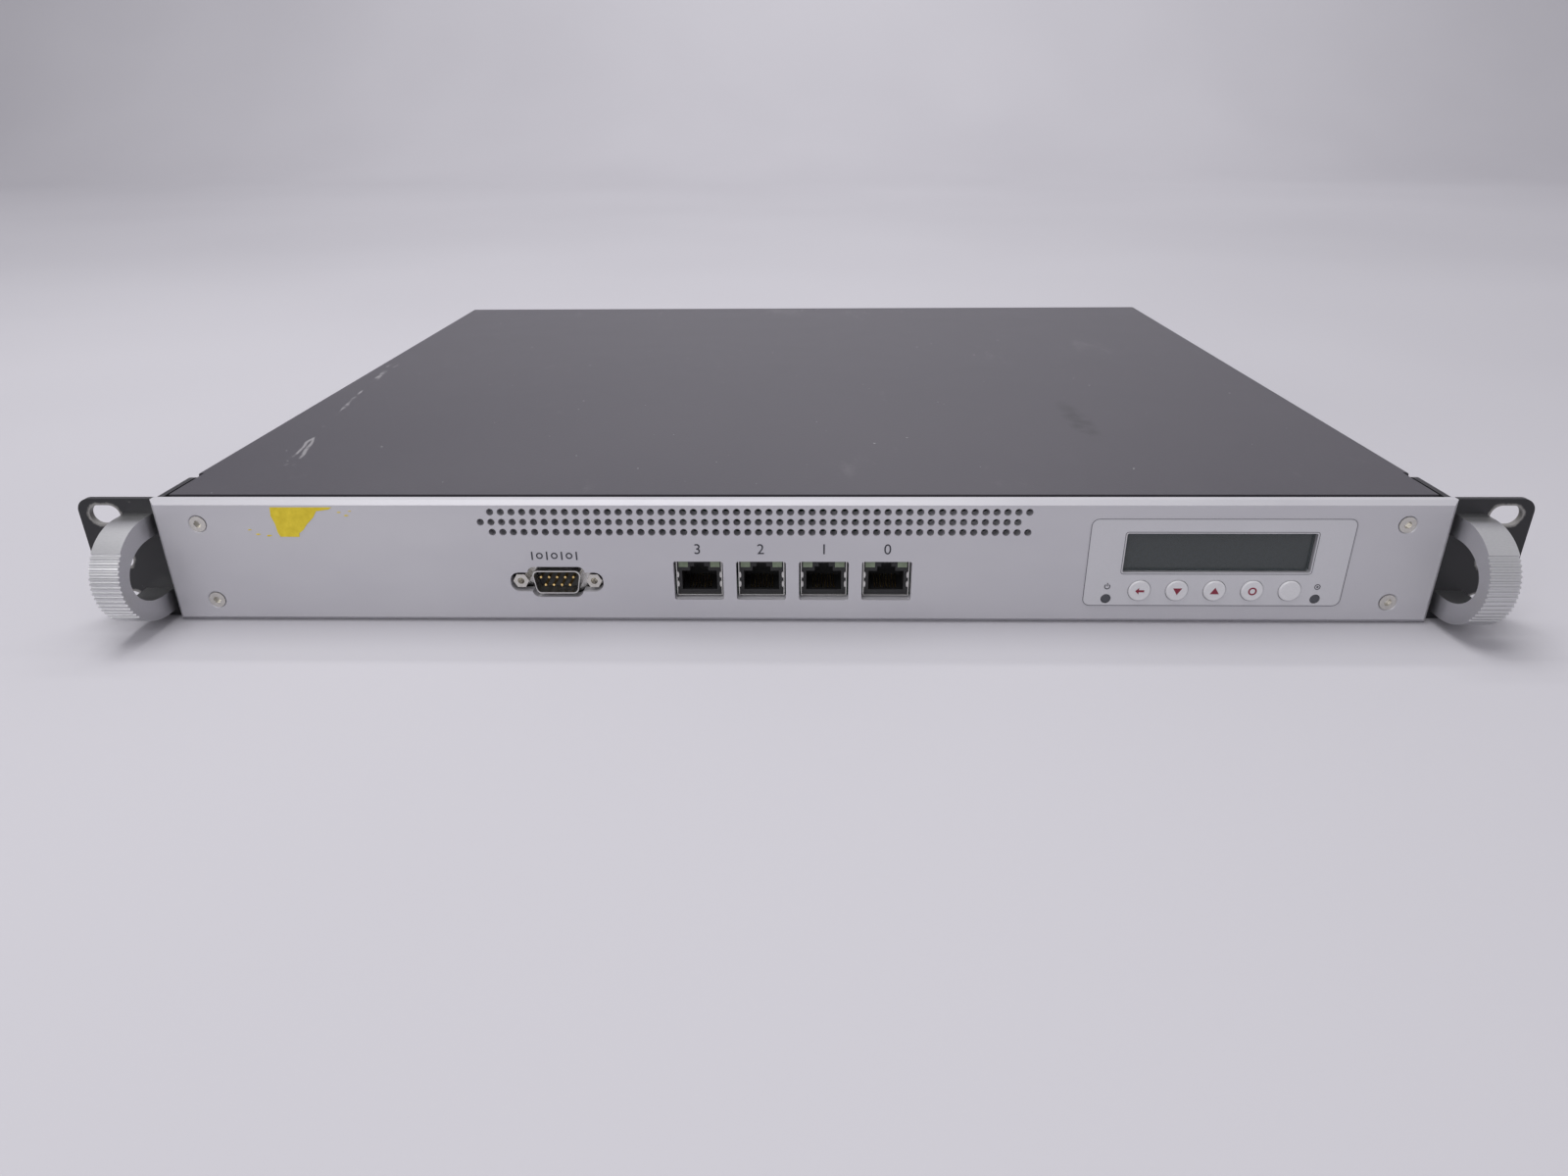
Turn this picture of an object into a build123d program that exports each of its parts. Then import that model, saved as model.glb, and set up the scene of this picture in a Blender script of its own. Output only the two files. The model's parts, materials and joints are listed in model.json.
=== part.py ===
from build123d import *
import math
import os

# A 1U rack-mounted network appliance. Millimetres, +X to the right seen from the front,
# +Y to the back, +Z up. The drawing below keeps Y = 0 on the front panel's face; save()
# moves every piece so that the origin is the centre of the whole unit's footprint.

# ---- driving sizes -------------------------------------------------------------------
CHASSIS_W = 427.7
CHASSIS_D = 366.0
CHASSIS_H = 43.6
SHEET = 1.2
COVER_FRONT_GAP = 4.0
FIT = 0.15

PANEL_OVERHANG = 0.4
PANEL_H = 44.0
PANEL_Z = 0.2
PANEL_T = 4.0
PANEL_BEVEL = 1.5

RACK_W = 482.6
EAR_T = 2.0
EAR_FLANGE_D = 26.0
EAR_H = 43.2
EAR_Z = 0.3
EAR_CORNER_R = 4.5
SLOT_SPAN_X = 465.1
SLOT_PITCH_Z = 15.875
SLOT_MID_Z = 21.85
SLOT_L = 10.4
SLOT_W = 7.0

HANDLE_GAP = 1.75
HANDLE_W = 9.6
HANDLE_H = 35.0
HANDLE_MID_Z = 21.0
HANDLE_REACH = 26.0
HANDLE_NOSE = 20.0
HANDLE_ARM = 7.2
HANDLE_NOSE_T = 5.6
GROOVES = 15
GROOVE_PITCH = 1.8
GROOVE_R = 0.62

SCREW_R = 1.5
SCREW_HEAD_R = 2.75
SINK_GAP = 0.45
SCREW_L = 9.0
PANEL_SCREW_EDGE = 14.95
PANEL_SCREW_Z = (8.1, 36.0)

VENT_COLS = 51
VENT_PITCH = 3.545
VENT_R = 1.2
VENT_X = -100.65
VENT_Z = 40.3

CONSOLE_X = -80.8
CONSOLE_Z = 15.05
CONSOLE_PITCH = 2.77
JACK_SCREW_GAP = 24.99
D_SHELL_W = 16.9
D_SHELL_H = 8.36

PORTS = 4
PORT_X = -32.6
PORT_PITCH = 21.14
PORT_Z = 15.6
PORT_CUT_W = 16.7
PORT_CUT_H = 14.15
JACK_W = 15.6
JACK_H = 13.2
JACK_D = 21.0
JACK_WALL = 0.3
PLUG_W = 11.9
PLUG_H = 6.9
PLUG_D = 13.0

OVERLAY_X = 140.1
OVERLAY_Z = 22.5
OVERLAY_W = 86.1
OVERLAY_H = 31.4
OVERLAY_T = 0.25
LCD_X = 140.15
LCD_Z = 26.0
LCD_W = 62.0
LCD_H = 14.0
KEYS = 5
KEY_PITCH = 12.49
KEY_X = 140.6
KEY_Z = 12.5
KEY_R = 3.7
KEY_TRAVEL = 0.5
LED_X = (104.8, 174.6)
LED_Z = 9.4
LED_R = 1.6
BOARD_T = 1.6

FAN = 40.0
FAN_D = 20.0
FAN_EDGE = 36.5
FAN_SPACING = 64.0
FANS = 2
FAN_BORE_R = 18.6
ROTOR_R = 17.8
HUB_R = 9.0
BLADES = 7

PSU_EDGE = 5.75
PSU_W = 81.5
PSU_L = 150.0
PSU_H = 40.4
INLET_W = 27.0
INLET_H = 19.8
ROCKER_W = 12.6
ROCKER_H = 19.0
ROCKER_TIP_GAP = 2.9

DRIVE_EDGE = 11.7
DRIVE_Y = 24.0
DRIVE_W = 101.6
DRIVE_L = 147.0
DRIVE_H = 26.1

# ---- sizes that follow ---------------------------------------------------------------
TRAY_W = CHASSIS_W - 2 * (SHEET + FIT)
PANEL_W = CHASSIS_W + 2 * PANEL_OVERHANG
PANEL_SCREW_X = PANEL_W / 2 - PANEL_SCREW_EDGE
HANDLE_X = PANEL_W / 2 + HANDLE_GAP
FAN_X = [FAN_EDGE - TRAY_W / 2 + i * FAN_SPACING for i in range(FANS)]
PSU_X = TRAY_W / 2 - PSU_EDGE - PSU_W / 2
DRIVE_X = DRIVE_EDGE + DRIVE_W / 2 - TRAY_W / 2
TRAY_TOP = CHASSIS_H - SHEET
COVER_Y = PANEL_T + COVER_FRONT_GAP
WALL_Y = PANEL_T + SHEET
REAR_Y = CHASSIS_D - SHEET
EAR_Y = PANEL_T
EAR_END = EAR_Y + EAR_FLANGE_D
PROUD = 1.6
FRONT_MOST = EAR_Y - HANDLE_REACH
REAR_MOST = CHASSIS_D + PROUD
Y_SHIFT = -(FRONT_MOST + REAR_MOST) / 2
PORT_XS = [PORT_X + i * PORT_PITCH for i in range(PORTS)]
KEY_XS = [KEY_X + (i - (KEYS - 1) / 2) * KEY_PITCH for i in range(KEYS)]
MAIN_Z = PORT_Z - JACK_H / 2
PCB_X = (-98.0, 62.0)
PCB_Y = (WALL_Y + 1.5, 212.0)
SHOW_Y = PANEL_T + 4.6
PSU_Y = (REAR_Y - PSU_L, REAR_Y)
PSU_Z = SHEET + 0.2
FAN_Z = SHEET + 0.2 + FAN / 2


def save(name, shape):
    """Write one node, moved into the unit's own frame."""
    export_step(Pos(0, Y_SHIFT, 0) * shape, f"parts/{name}.step")


def block(x, y, z):
    """A box from three (low, high) pairs."""
    size = [b - a for a, b in (x, y, z)]
    mid = [(a + b) / 2 for a, b in (x, y, z)]
    return Pos(*mid) * Box(*size)


def rod_y(x, z, r, y0, y1):
    """A round bar along Y."""
    return Pos(x, (y0 + y1) / 2, z) * Rot(90, 0, 0) * Cylinder(r, y1 - y0)


def rod_x(y, z, r, x0, x1):
    """A round bar along X."""
    return Pos((x0 + x1) / 2, y, z) * Rot(0, 90, 0) * Cylinder(r, x1 - x0)


def rod_z(x, y, r, z0, z1):
    """An upright round bar."""
    return Pos(x, y, (z0 + z1) / 2) * Cylinder(r, z1 - z0)


def along_y(sketch, y0, y1):
    """Extrude a sketch, drawn as (x, z), from y0 back to y1."""
    return Pos(0, y1, 0) * Rot(90, 0, 0) * extrude(sketch, y1 - y0)


def along_x(sketch, x0, x1):
    """Extrude a sketch, drawn as (y, z), from x0 to x1."""
    return Pos(x0, 0, 0) * Rot(0, 0, 90) * Rot(90, 0, 0) * extrude(sketch, x1 - x0)


def window(x, z, w, h, r, y0, y1):
    """A rounded rectangular bar along Y, centred on (x, z)."""
    return along_y(Pos(x, z) * RectangleRounded(w, h, r), y0, y1)


def group(shapes):
    """Several separate solids as one node."""
    return Compound(children=list(shapes))


def countersunk_screw(x, z, y0, length, r=SCREW_R, head=SCREW_HEAD_R):
    """A countersunk hex-socket screw along +Y with its head flush at y0."""
    cone_h = head - r
    cone = Pos(x, y0 + cone_h / 2, z) * Rot(90, 0, 0) * Cone(r, head, cone_h)
    shank = rod_y(x, z, r, y0 + cone_h, y0 + length)
    socket = along_y(Pos(x, z) * RegularPolygon(head * 0.5, 6), y0, y0 + cone_h)
    return cone + shank - socket


def countersunk_hole(x, z, y0, depth, r=SCREW_R, head=SCREW_HEAD_R):
    """The hole that a countersunk screw drops into, with a thin running gap."""
    gap = 0.1
    cone_h = head - r
    cone = Pos(x, y0 + cone_h / 2, z) * Rot(90, 0, 0) * Cone(r + gap, head + SINK_GAP, cone_h)
    return cone + rod_y(x, z, r + gap, y0, y0 + depth)


def d_sketch(w, h, slope=10):
    """The D outline of a sub-miniature connector, wide side up."""
    inset = h * math.tan(math.radians(slope))
    outline = Polyline((-w / 2, h / 2), (w / 2, h / 2), (w / 2 - inset, -h / 2), (-w / 2 + inset, -h / 2), close=True)
    face = make_face(outline)
    return fillet(face.vertices(), min(w, h) * 0.22)


# ---- casing --------------------------------------------------------------------------
def vent_places():
    """Centres of the three staggered vent rows."""
    places = []
    for row in range(3):
        shift = -VENT_PITCH if row == 1 else 0.0
        for col in range(VENT_COLS):
            places.append((VENT_X + shift + col * VENT_PITCH, VENT_Z - row * VENT_PITCH))
    return places


def console_cut(grow, y0, y1):
    """The console port's opening: a D with two ears for the jack screws."""
    ears = Pos(CONSOLE_X, CONSOLE_Z) * RectangleRounded(31.6 + 2 * grow, 7.0 + 2 * grow, 3.0)
    body = Pos(CONSOLE_X, CONSOLE_Z) * d_sketch(20.6 + 2 * grow, 11.2 + 2 * grow)
    return along_y(ears, y0, y1) + along_y(body, y0, y1)


def front_panel():
    plate = block((-PANEL_W / 2, PANEL_W / 2), (0, PANEL_T), (PANEL_Z, PANEL_Z + PANEL_H))
    plate = chamfer(plate.faces().sort_by(Axis.Y)[0].edges(), PANEL_BEVEL)
    cuts = [console_cut(0, -1, PANEL_T + 1)]
    for x in PORT_XS:
        cuts.append(window(x, PORT_Z, PORT_CUT_W, PORT_CUT_H, 0.8, -1, PANEL_T + 1))
    cuts.append(window(LCD_X, LCD_Z, LCD_W + 0.6, LCD_H + 0.6, 0.8, -1, PANEL_T + 1))
    for x in KEY_XS:
        cuts.append(rod_y(x, KEY_Z, KEY_R + 0.2, -1, PANEL_T + 1))
    for x in LED_X:
        cuts.append(rod_y(x, LED_Z, LED_R + FIT, -1, PANEL_T + 1))
    for x in (-PANEL_SCREW_X, PANEL_SCREW_X):
        for z in PANEL_SCREW_Z:
            cuts.append(countersunk_hole(x, z, 0, PANEL_T + 1))
    plate = plate - cuts
    vents = [Pos(x, z) * Circle(VENT_R) for x, z in vent_places()]
    return plate - along_y(Sketch() + vents, -1, PANEL_T + 1)


def side_screw_places():
    """Y and Z of the screws that hold each side of the cover."""
    return [(y, CHASSIS_H - 10.0) for y in (70.0, CHASSIS_D / 2 + 20.0, CHASSIS_D - 25.0)]


def ear_screw_places():
    """Y and Z of the screws in each ear's flange."""
    return [(y, z) for y in (EAR_Y + 11.0, EAR_END - 6.0) for z in (10.0, 33.0)]


def standoff_places():
    """X and Y of the mainboard's standoffs."""
    xs = (PCB_X[0] + 6, (PCB_X[0] + PCB_X[1]) / 2 + 8, PCB_X[1] - 6)
    ys = (PCB_Y[0] + 34, PCB_Y[1] - 8)
    return [(x, y) for x in xs for y in ys]


def chassis_base():
    half = TRAY_W / 2
    floor = block((-half, half), (PANEL_T, CHASSIS_D), (0, SHEET))
    wall = block((-half, half), (PANEL_T, WALL_Y), (SHEET, TRAY_TOP))
    sides = [block((s * half - (SHEET if s > 0 else 0), s * half + (SHEET if s < 0 else 0)),
                   (WALL_Y, CHASSIS_D), (SHEET, TRAY_TOP)) for s in (-1, 1)]
    tray = floor + wall + sides[0] + sides[1]
    low_vent = VENT_Z - 2 * VENT_PITCH - VENT_R - 0.6
    cuts = [console_cut(0.8, PANEL_T - 1, WALL_Y + 1)]
    cuts.append(block((VENT_X - VENT_PITCH - 3, VENT_X + VENT_COLS * VENT_PITCH + 1),
                      (PANEL_T - 1, WALL_Y + 1), (low_vent, TRAY_TOP - 0.6)))
    for x in PORT_XS:
        cuts.append(window(x, PORT_Z, PORT_CUT_W + 0.6, PORT_CUT_H + 0.6, 0.8, PANEL_T - 1, WALL_Y + 1))
    cuts.append(window(OVERLAY_X, OVERLAY_Z, OVERLAY_W - 2.4, OVERLAY_H - 0.4, 1.5, PANEL_T - 1, WALL_Y + 1))
    for x in (-PANEL_SCREW_X, PANEL_SCREW_X):
        for z in PANEL_SCREW_Z:
            cuts.append(rod_y(x, z, SCREW_R + 0.1, PANEL_T - 1, WALL_Y + 1))
    for side in (-half, half):
        for y, z in side_screw_places() + ear_screw_places():
            cuts.append(rod_x(y, z, SCREW_R + 0.1, side - 2, side + 2))
    return tray - cuts


def rear_panel():
    """The back wall, with the fans' holes, the supply's opening and the spare slot."""
    half = TRAY_W / 2 - SHEET - FIT
    plate = block((-half, half), (REAR_Y, CHASSIS_D), (SHEET, TRAY_TOP))
    cuts = [rod_y(x, FAN_Z, FAN_BORE_R, REAR_Y - 1, CHASSIS_D + 1) for x in FAN_X]
    for x, z in fan_screw_places():
        cuts.append(rod_y(x, z, SCREW_R + 0.1, REAR_Y - 1, CHASSIS_D + 1))
    cuts.append(block((PSU_X - PSU_W / 2 + 1.5, PSU_X + PSU_W / 2 - 1.5), (REAR_Y - 1, CHASSIS_D + 1),
                      (PSU_Z + 1.5, PSU_Z + PSU_H - 1.5)))
    cuts.append(window(20.0, 22.0, 92.0, 14.0, 1.0, REAR_Y - 1, CHASSIS_D + 1))
    for x in (20.0 - 52.0, 20.0 + 52.0):
        cuts.append(rod_y(x, 22.0, SCREW_R + 0.1, REAR_Y - 1, CHASSIS_D + 1))
    return plate - cuts


def expansion_cover():
    """The blank plate over the unused expansion slot."""
    plate = window(20.0, 22.0, 112.0, 20.0, 1.5, CHASSIS_D, CHASSIS_D + 1.0)
    holes = [rod_y(x, 22.0, SCREW_R + 0.1, CHASSIS_D - 1, CHASSIS_D + 2) for x in (-32.0, 72.0)]
    return plate - holes


def top_cover():
    half = CHASSIS_W / 2
    top = block((-half, half), (COVER_Y, CHASSIS_D), (TRAY_TOP, CHASSIS_H))
    top = fillet(top.edges().filter_by(Axis.Y).group_by(Axis.Z)[-1], 0.9)
    skirts = [block((min(s * half, s * (half - SHEET)), max(s * half, s * (half - SHEET))),
                    (COVER_Y, CHASSIS_D), (0.6, TRAY_TOP)) for s in (-1, 1)]
    cover = top + skirts[0] + skirts[1]
    inner = TRAY_W / 2 - 0.9
    cuts = [block((min(s * inner, s * (half + 1)), max(s * inner, s * (half + 1))),
                  (COVER_Y - 1, EAR_END + 0.8), (0, CHASSIS_H + 1)) for s in (-1, 1)]
    for y, z in side_screw_places():
        cuts.append(rod_x(y, z, SCREW_R + 0.1, -half - 1, half + 1))
    return cover - cuts


def side_screw(side, face, y, z, length=5.0):
    """A low-headed screw driven in from the side at |X| = face."""
    head = rod_x(y, z, 2.6, *sorted((side * face, side * (face + 1.0))))
    shank = rod_x(y, z, SCREW_R, *sorted((side * (face - length), side * face)))
    socket = rod_x(y, z, 1.1, *sorted((side * (face + 0.4), side * (face + 1.0))))
    return head + shank - socket


def cover_screws():
    return group(side_screw(s, CHASSIS_W / 2, y, z) for s in (-1, 1) for y, z in side_screw_places())


def rack_ear(side):
    """An L-shaped ear: slotted front plate and a flange along the chassis."""
    inner = TRAY_W / 2
    outline = Pos((inner + RACK_W / 2) / 2, EAR_Z + EAR_H / 2) * Rectangle(RACK_W / 2 - inner, EAR_H)
    outline = fillet(outline.vertices().group_by(Axis.X)[-1], EAR_CORNER_R)
    plate = along_y(outline, EAR_Y, EAR_Y + EAR_T)
    web = Pos((EAR_Y + EAR_END) / 2, EAR_Z + EAR_H / 2) * Rectangle(EAR_END - EAR_Y, EAR_H)
    web = fillet(web.vertices().group_by(Axis.X)[-1], EAR_CORNER_R)
    flange = along_x(web, inner, inner + EAR_T)
    ear = plate + flange
    cuts = []
    for row in (-1, 0, 1):
        slot = Pos(SLOT_SPAN_X / 2, SLOT_MID_Z + row * SLOT_PITCH_Z) * SlotOverall(SLOT_L, SLOT_W)
        cuts.append(along_y(slot, EAR_Y - 1, EAR_Y + EAR_T + 1))
    for y, z in ear_screw_places():
        cuts.append(rod_x(y, z, SCREW_R + 0.1, inner - 1, inner + EAR_T + 1))
    for z in handle_screw_zs():
        cuts.append(rod_y(HANDLE_X + HANDLE_W / 2, z, SCREW_R + 0.1, EAR_Y - 1, EAR_Y + EAR_T + 1))
    ear = ear - cuts
    return ear if side > 0 else mirror(ear, Plane.YZ)


def ear_screws():
    face = TRAY_W / 2 + EAR_T
    return group(side_screw(s, face, y, z) for s in (-1, 1) for y, z in ear_screw_places())


def handle_screw_zs():
    """Heights of the two screws that hold each handle."""
    return [HANDLE_MID_Z + s * (HANDLE_H - HANDLE_ARM) / 2 for s in (-1, 1)]


def half_oval(depth, height, front, back):
    """A (y, z) outline: straight arms from back, closed by half an ellipse at the front."""
    centre = front + depth
    oval = Pos(centre, HANDLE_MID_Z) * Ellipse(depth, height / 2)
    box = Pos((centre + back) / 2, HANDLE_MID_Z) * Rectangle(back - centre, height)
    keep = Pos(centre - depth / 2, HANDLE_MID_Z) * Rectangle(depth, height)
    return (oval & keep) + box


def handle(side):
    """A C-shaped pull with fine grooves across its nose."""
    front = EAR_Y - HANDLE_REACH
    inner_h = HANDLE_H - 2 * HANDLE_ARM
    outer = half_oval(HANDLE_NOSE, HANDLE_H, front, EAR_Y)
    inner = half_oval(HANDLE_NOSE - HANDLE_NOSE_T, inner_h, front + HANDLE_NOSE_T, EAR_Y + 1)
    pull = along_x(outer - inner, HANDLE_X, HANDLE_X + HANDLE_W)
    centre = front + HANDLE_NOSE
    cuts = []
    for i in range(GROOVES):
        turn = (i - (GROOVES - 1) / 2) * GROOVE_PITCH / (HANDLE_H / 2 + 1)
        y = centre - HANDLE_NOSE * math.cos(turn)
        z = HANDLE_MID_Z + HANDLE_H / 2 * math.sin(turn)
        cuts.append(rod_x(y, z, GROOVE_R, HANDLE_X - 1, HANDLE_X + HANDLE_W + 1))
    for z in handle_screw_zs():
        cuts.append(rod_y(HANDLE_X + HANDLE_W / 2, z, SCREW_R + 0.1, EAR_Y - 7, EAR_Y + 1))
    pull = pull - cuts
    return pull if side > 0 else mirror(pull, Plane.YZ)


def handle_screws():
    """Screws through each ear from behind into the handle's arms."""
    back = EAR_Y + EAR_T
    screws = []
    for side in (-1, 1):
        x = side * (HANDLE_X + HANDLE_W / 2)
        for z in handle_screw_zs():
            screws.append(rod_y(x, z, 2.6, back, back + 1.6) + rod_y(x, z, SCREW_R, back - 8, back))
    return group(screws)


def front_panel_screws():
    return group(countersunk_screw(x, z, 0, SCREW_L) for x in (-PANEL_SCREW_X, PANEL_SCREW_X)
                 for z in PANEL_SCREW_Z)


# ---- console port --------------------------------------------------------------------
CONSOLE_FLANGE = WALL_Y + 0.4


def console_shell():
    """The plug's tin shell with its mounting flange."""
    rim = CONSOLE_FLANGE - 5.8
    outer = Pos(CONSOLE_X, CONSOLE_Z) * d_sketch(D_SHELL_W, D_SHELL_H)
    inner = Pos(CONSOLE_X, CONSOLE_Z) * d_sketch(D_SHELL_W - 0.8, D_SHELL_H - 0.8)
    flange = window(CONSOLE_X, CONSOLE_Z, 30.8, 12.3, 1.5, CONSOLE_FLANGE, CONSOLE_FLANGE + 0.8)
    shell = along_y(outer, rim, CONSOLE_FLANGE) + flange - along_y(inner, rim - 1, CONSOLE_FLANGE + 2)
    holes = [rod_y(CONSOLE_X + s * JACK_SCREW_GAP / 2, CONSOLE_Z, 1.6, CONSOLE_FLANGE - 1,
                   CONSOLE_FLANGE + 2) for s in (-1, 1)]
    return shell - holes


def console_insert():
    """The moulded body that holds the pins and stands on the mainboard."""
    face = Pos(CONSOLE_X, CONSOLE_Z) * d_sketch(D_SHELL_W - 1.0, D_SHELL_H - 1.0)
    lip = along_y(face, CONSOLE_FLANGE - 0.6, CONSOLE_FLANGE + 0.8)
    body = block((CONSOLE_X - 15.4, CONSOLE_X + 15.4), (CONSOLE_FLANGE + 0.8, CONSOLE_FLANGE + 11),
                 (MAIN_Z, CONSOLE_Z + 6.15))
    holes = [rod_y(x, z, 0.52, CONSOLE_FLANGE - 1, CONSOLE_FLANGE + 6) for x, z in pin_places()]
    nuts = [rod_y(CONSOLE_X + s * JACK_SCREW_GAP / 2, CONSOLE_Z, 1.6, CONSOLE_FLANGE,
                  CONSOLE_FLANGE + 7) for s in (-1, 1)]
    return lip + body - holes - nuts


def pin_places():
    """Five pins above four, in the standard nine-way layout."""
    top = [(CONSOLE_X + (i - 2) * CONSOLE_PITCH, CONSOLE_Z + 1.42) for i in range(5)]
    low = [(CONSOLE_X + (i - 1.5) * CONSOLE_PITCH, CONSOLE_Z - 1.42) for i in range(4)]
    return top + low


def console_pins():
    return group(fillet(rod_y(x, z, 0.5, CONSOLE_FLANGE - 5.0, CONSOLE_FLANGE + 5).edges()
                        .group_by(Axis.Y)[0], 0.3) for x, z in pin_places())


def jack_screws():
    """Two hexagonal jack screws beside the console shell."""
    nuts = []
    for s in (-1, 1):
        x = CONSOLE_X + s * JACK_SCREW_GAP / 2
        head = along_y(Pos(x, CONSOLE_Z) * RegularPolygon(2.7, 6), CONSOLE_FLANGE - 4.6, CONSOLE_FLANGE)
        shank = rod_y(x, CONSOLE_Z, 1.5, CONSOLE_FLANGE, CONSOLE_FLANGE + 6)
        nuts.append(head + shank - rod_y(x, CONSOLE_Z, 1.15, CONSOLE_FLANGE - 5, CONSOLE_FLANGE - 0.6))
    return group(nuts)


# ---- network ports -------------------------------------------------------------------
JACK_Y = PANEL_T - 1.2
PLUG_Z = PORT_Z - 1.1


def jack_cavity(x, y0):
    """The keyed hole for a modular plug, latch side up."""
    floor = PLUG_Z - PLUG_H / 2
    main = block((x - PLUG_W / 2, x + PLUG_W / 2), (y0, JACK_Y + PLUG_D), (floor, floor + PLUG_H))
    step = block((x - 3.1, x + 3.1), (y0, JACK_Y + PLUG_D), (floor, floor + PLUG_H + 1.6))
    latch = block((x - 1.7, x + 1.7), (y0, JACK_Y + PLUG_D), (floor, floor + PLUG_H + 2.9))
    return main + step + latch


def jack_shield(x):
    """A folded tin shield, open at the front and below, with sprung side tabs."""
    half = JACK_W / 2
    low, high = PORT_Z - JACK_H / 2, PORT_Z + JACK_H / 2
    can = block((x - half, x + half), (JACK_Y, JACK_Y + JACK_D), (low, high))
    core = block((x - half + JACK_WALL, x + half - JACK_WALL), (JACK_Y - 1, JACK_Y + JACK_D - JACK_WALL),
                 (low + JACK_WALL, high - JACK_WALL))
    return can - core


def jack_insert(x):
    """The moulded body inside a shield, with the plug's hole and two lamp windows."""
    half = JACK_W / 2 - JACK_WALL
    low, high = PORT_Z - JACK_H / 2 + JACK_WALL, PORT_Z + JACK_H / 2 - JACK_WALL
    body = block((x - half, x + half), (JACK_Y + 0.5, JACK_Y + JACK_D - JACK_WALL), (low, high))
    lamps = [block(lamp_span(x, s), (JACK_Y, JACK_Y + 2.0), (high - 2.6, high - 0.3)) for s in (-1, 1)]
    slots = [block((cx - 0.25, cx + 0.25), (JACK_Y + 2, JACK_Y + 9), (low + 0.4, PLUG_Z)) for cx in contact_xs(x)]
    return body - jack_cavity(x, JACK_Y - 1) - lamps - slots


def lamp_span(x, side):
    """X span of one of a port's two lamps."""
    mid = x + side * 5.4
    return (mid - 1.6, mid + 1.6)


def contact_xs(x):
    """X of the eight contacts in one port."""
    return [x + (i - 3.5) * 1.02 for i in range(8)]


def jack_contacts(x):
    """Eight sprung contacts that slope up from the floor of the plug's hole."""
    floor = PLUG_Z - PLUG_H / 2
    wires = []
    for cx in contact_xs(x):
        side = make_face(Polyline((JACK_Y + 3, floor - 0.7), (JACK_Y + 8.6, floor + 2.2), (JACK_Y + 8.4, floor + 2.5),
                                  (JACK_Y + 2.6, floor - 0.4), close=True))
        wires.append(along_x(side, cx - 0.16, cx + 0.16))
    return group(wires)


def port_lamps():
    """The status lamps in the upper corners of every port."""
    high = PORT_Z + JACK_H / 2 - JACK_WALL
    return group(block(lamp_span(x, s), (JACK_Y + 0.4, JACK_Y + 2.0), (high - 2.6, high - 0.3))
                 for x in PORT_XS for s in (-1, 1))


# ---- display and keypad --------------------------------------------------------------
def display_overlay():
    """The printed film around the display, keys and lamps."""
    film = window(OVERLAY_X, OVERLAY_Z, OVERLAY_W, OVERLAY_H, 2.5, -OVERLAY_T, 0)
    cuts = [window(LCD_X, LCD_Z, LCD_W, LCD_H, 0.6, -1, 1)]
    for x in KEY_XS:
        cuts.append(rod_y(x, KEY_Z, KEY_R + 0.15, -1, 1))
    for x in LED_X:
        cuts.append(rod_y(x, LED_Z, LED_R + 0.1, -1, 1))
    return film - cuts


def display_window():
    """The clear pane set in the panel in front of the display."""
    return window(LCD_X, LCD_Z, LCD_W + 0.2, LCD_H + 0.2, 0.6, 1.8, 2.8)


def display_module():
    """The liquid-crystal module with its steel frame."""
    frame = window(LCD_X, LCD_Z, LCD_W + 8, LCD_H + 3, 0.8, PANEL_T + 0.1, SHOW_Y)
    glass = window(LCD_X, LCD_Z, LCD_W, LCD_H, 0.4, 2.8, PANEL_T + 0.1)
    return frame + glass


def display_board():
    """One board that carries the display, the key switches and the two lamps."""
    board = block((OVERLAY_X - 41.2, OVERLAY_X + 41.2), (SHOW_Y, SHOW_Y + BOARD_T), (6.4, 38.0))
    return board - [rod_y(x, z, SCREW_R + 0.1, SHOW_Y - 1, SHOW_Y + 3) for x, z in display_post_places()]


def display_post_places():
    """X and Z of the posts that carry the display board on the panel."""
    return [(OVERLAY_X + s * 38.9, z) for s in (-1, 1) for z in (15.5, 35.2)]


def display_posts():
    return group(rod_y(x, z, 1.9, PANEL_T, SHOW_Y) + rod_y(x, z, SCREW_R, SHOW_Y, SHOW_Y + 3)
                 for x, z in display_post_places())


def key(x):
    """A domed key with a collar that keeps it behind the panel."""
    stem = rod_y(x, KEY_Z, KEY_R, -0.9, PANEL_T + 0.4)
    stem = fillet(stem.edges().group_by(Axis.Y)[0], 0.55)
    collar = rod_y(x, KEY_Z, KEY_R + 0.7, PANEL_T + 0.3, PANEL_T + 1.1)
    return stem + collar


def key_switches():
    """A short-travel switch behind each key."""
    return group(block((x - 3, x + 3), (SHOW_Y - 2.2, SHOW_Y), (KEY_Z - 3, KEY_Z + 3))
                 + rod_y(x, KEY_Z, 1.6, PANEL_T + 1.1 + KEY_TRAVEL + 0.2, SHOW_Y - 2.2) for x in KEY_XS)


def status_lamp(x):
    """A round lamp whose nose fills its hole in the panel."""
    return fillet(rod_y(x, LED_Z, LED_R, -0.2, SHOW_Y).edges().group_by(Axis.Y)[0], 0.3) + \
        rod_y(x, LED_Z, LED_R + 0.4, PANEL_T + 0.6, PANEL_T + 1.4)


# ---- electronics ---------------------------------------------------------------------
CELL = (-84.0, 130.0)


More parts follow.
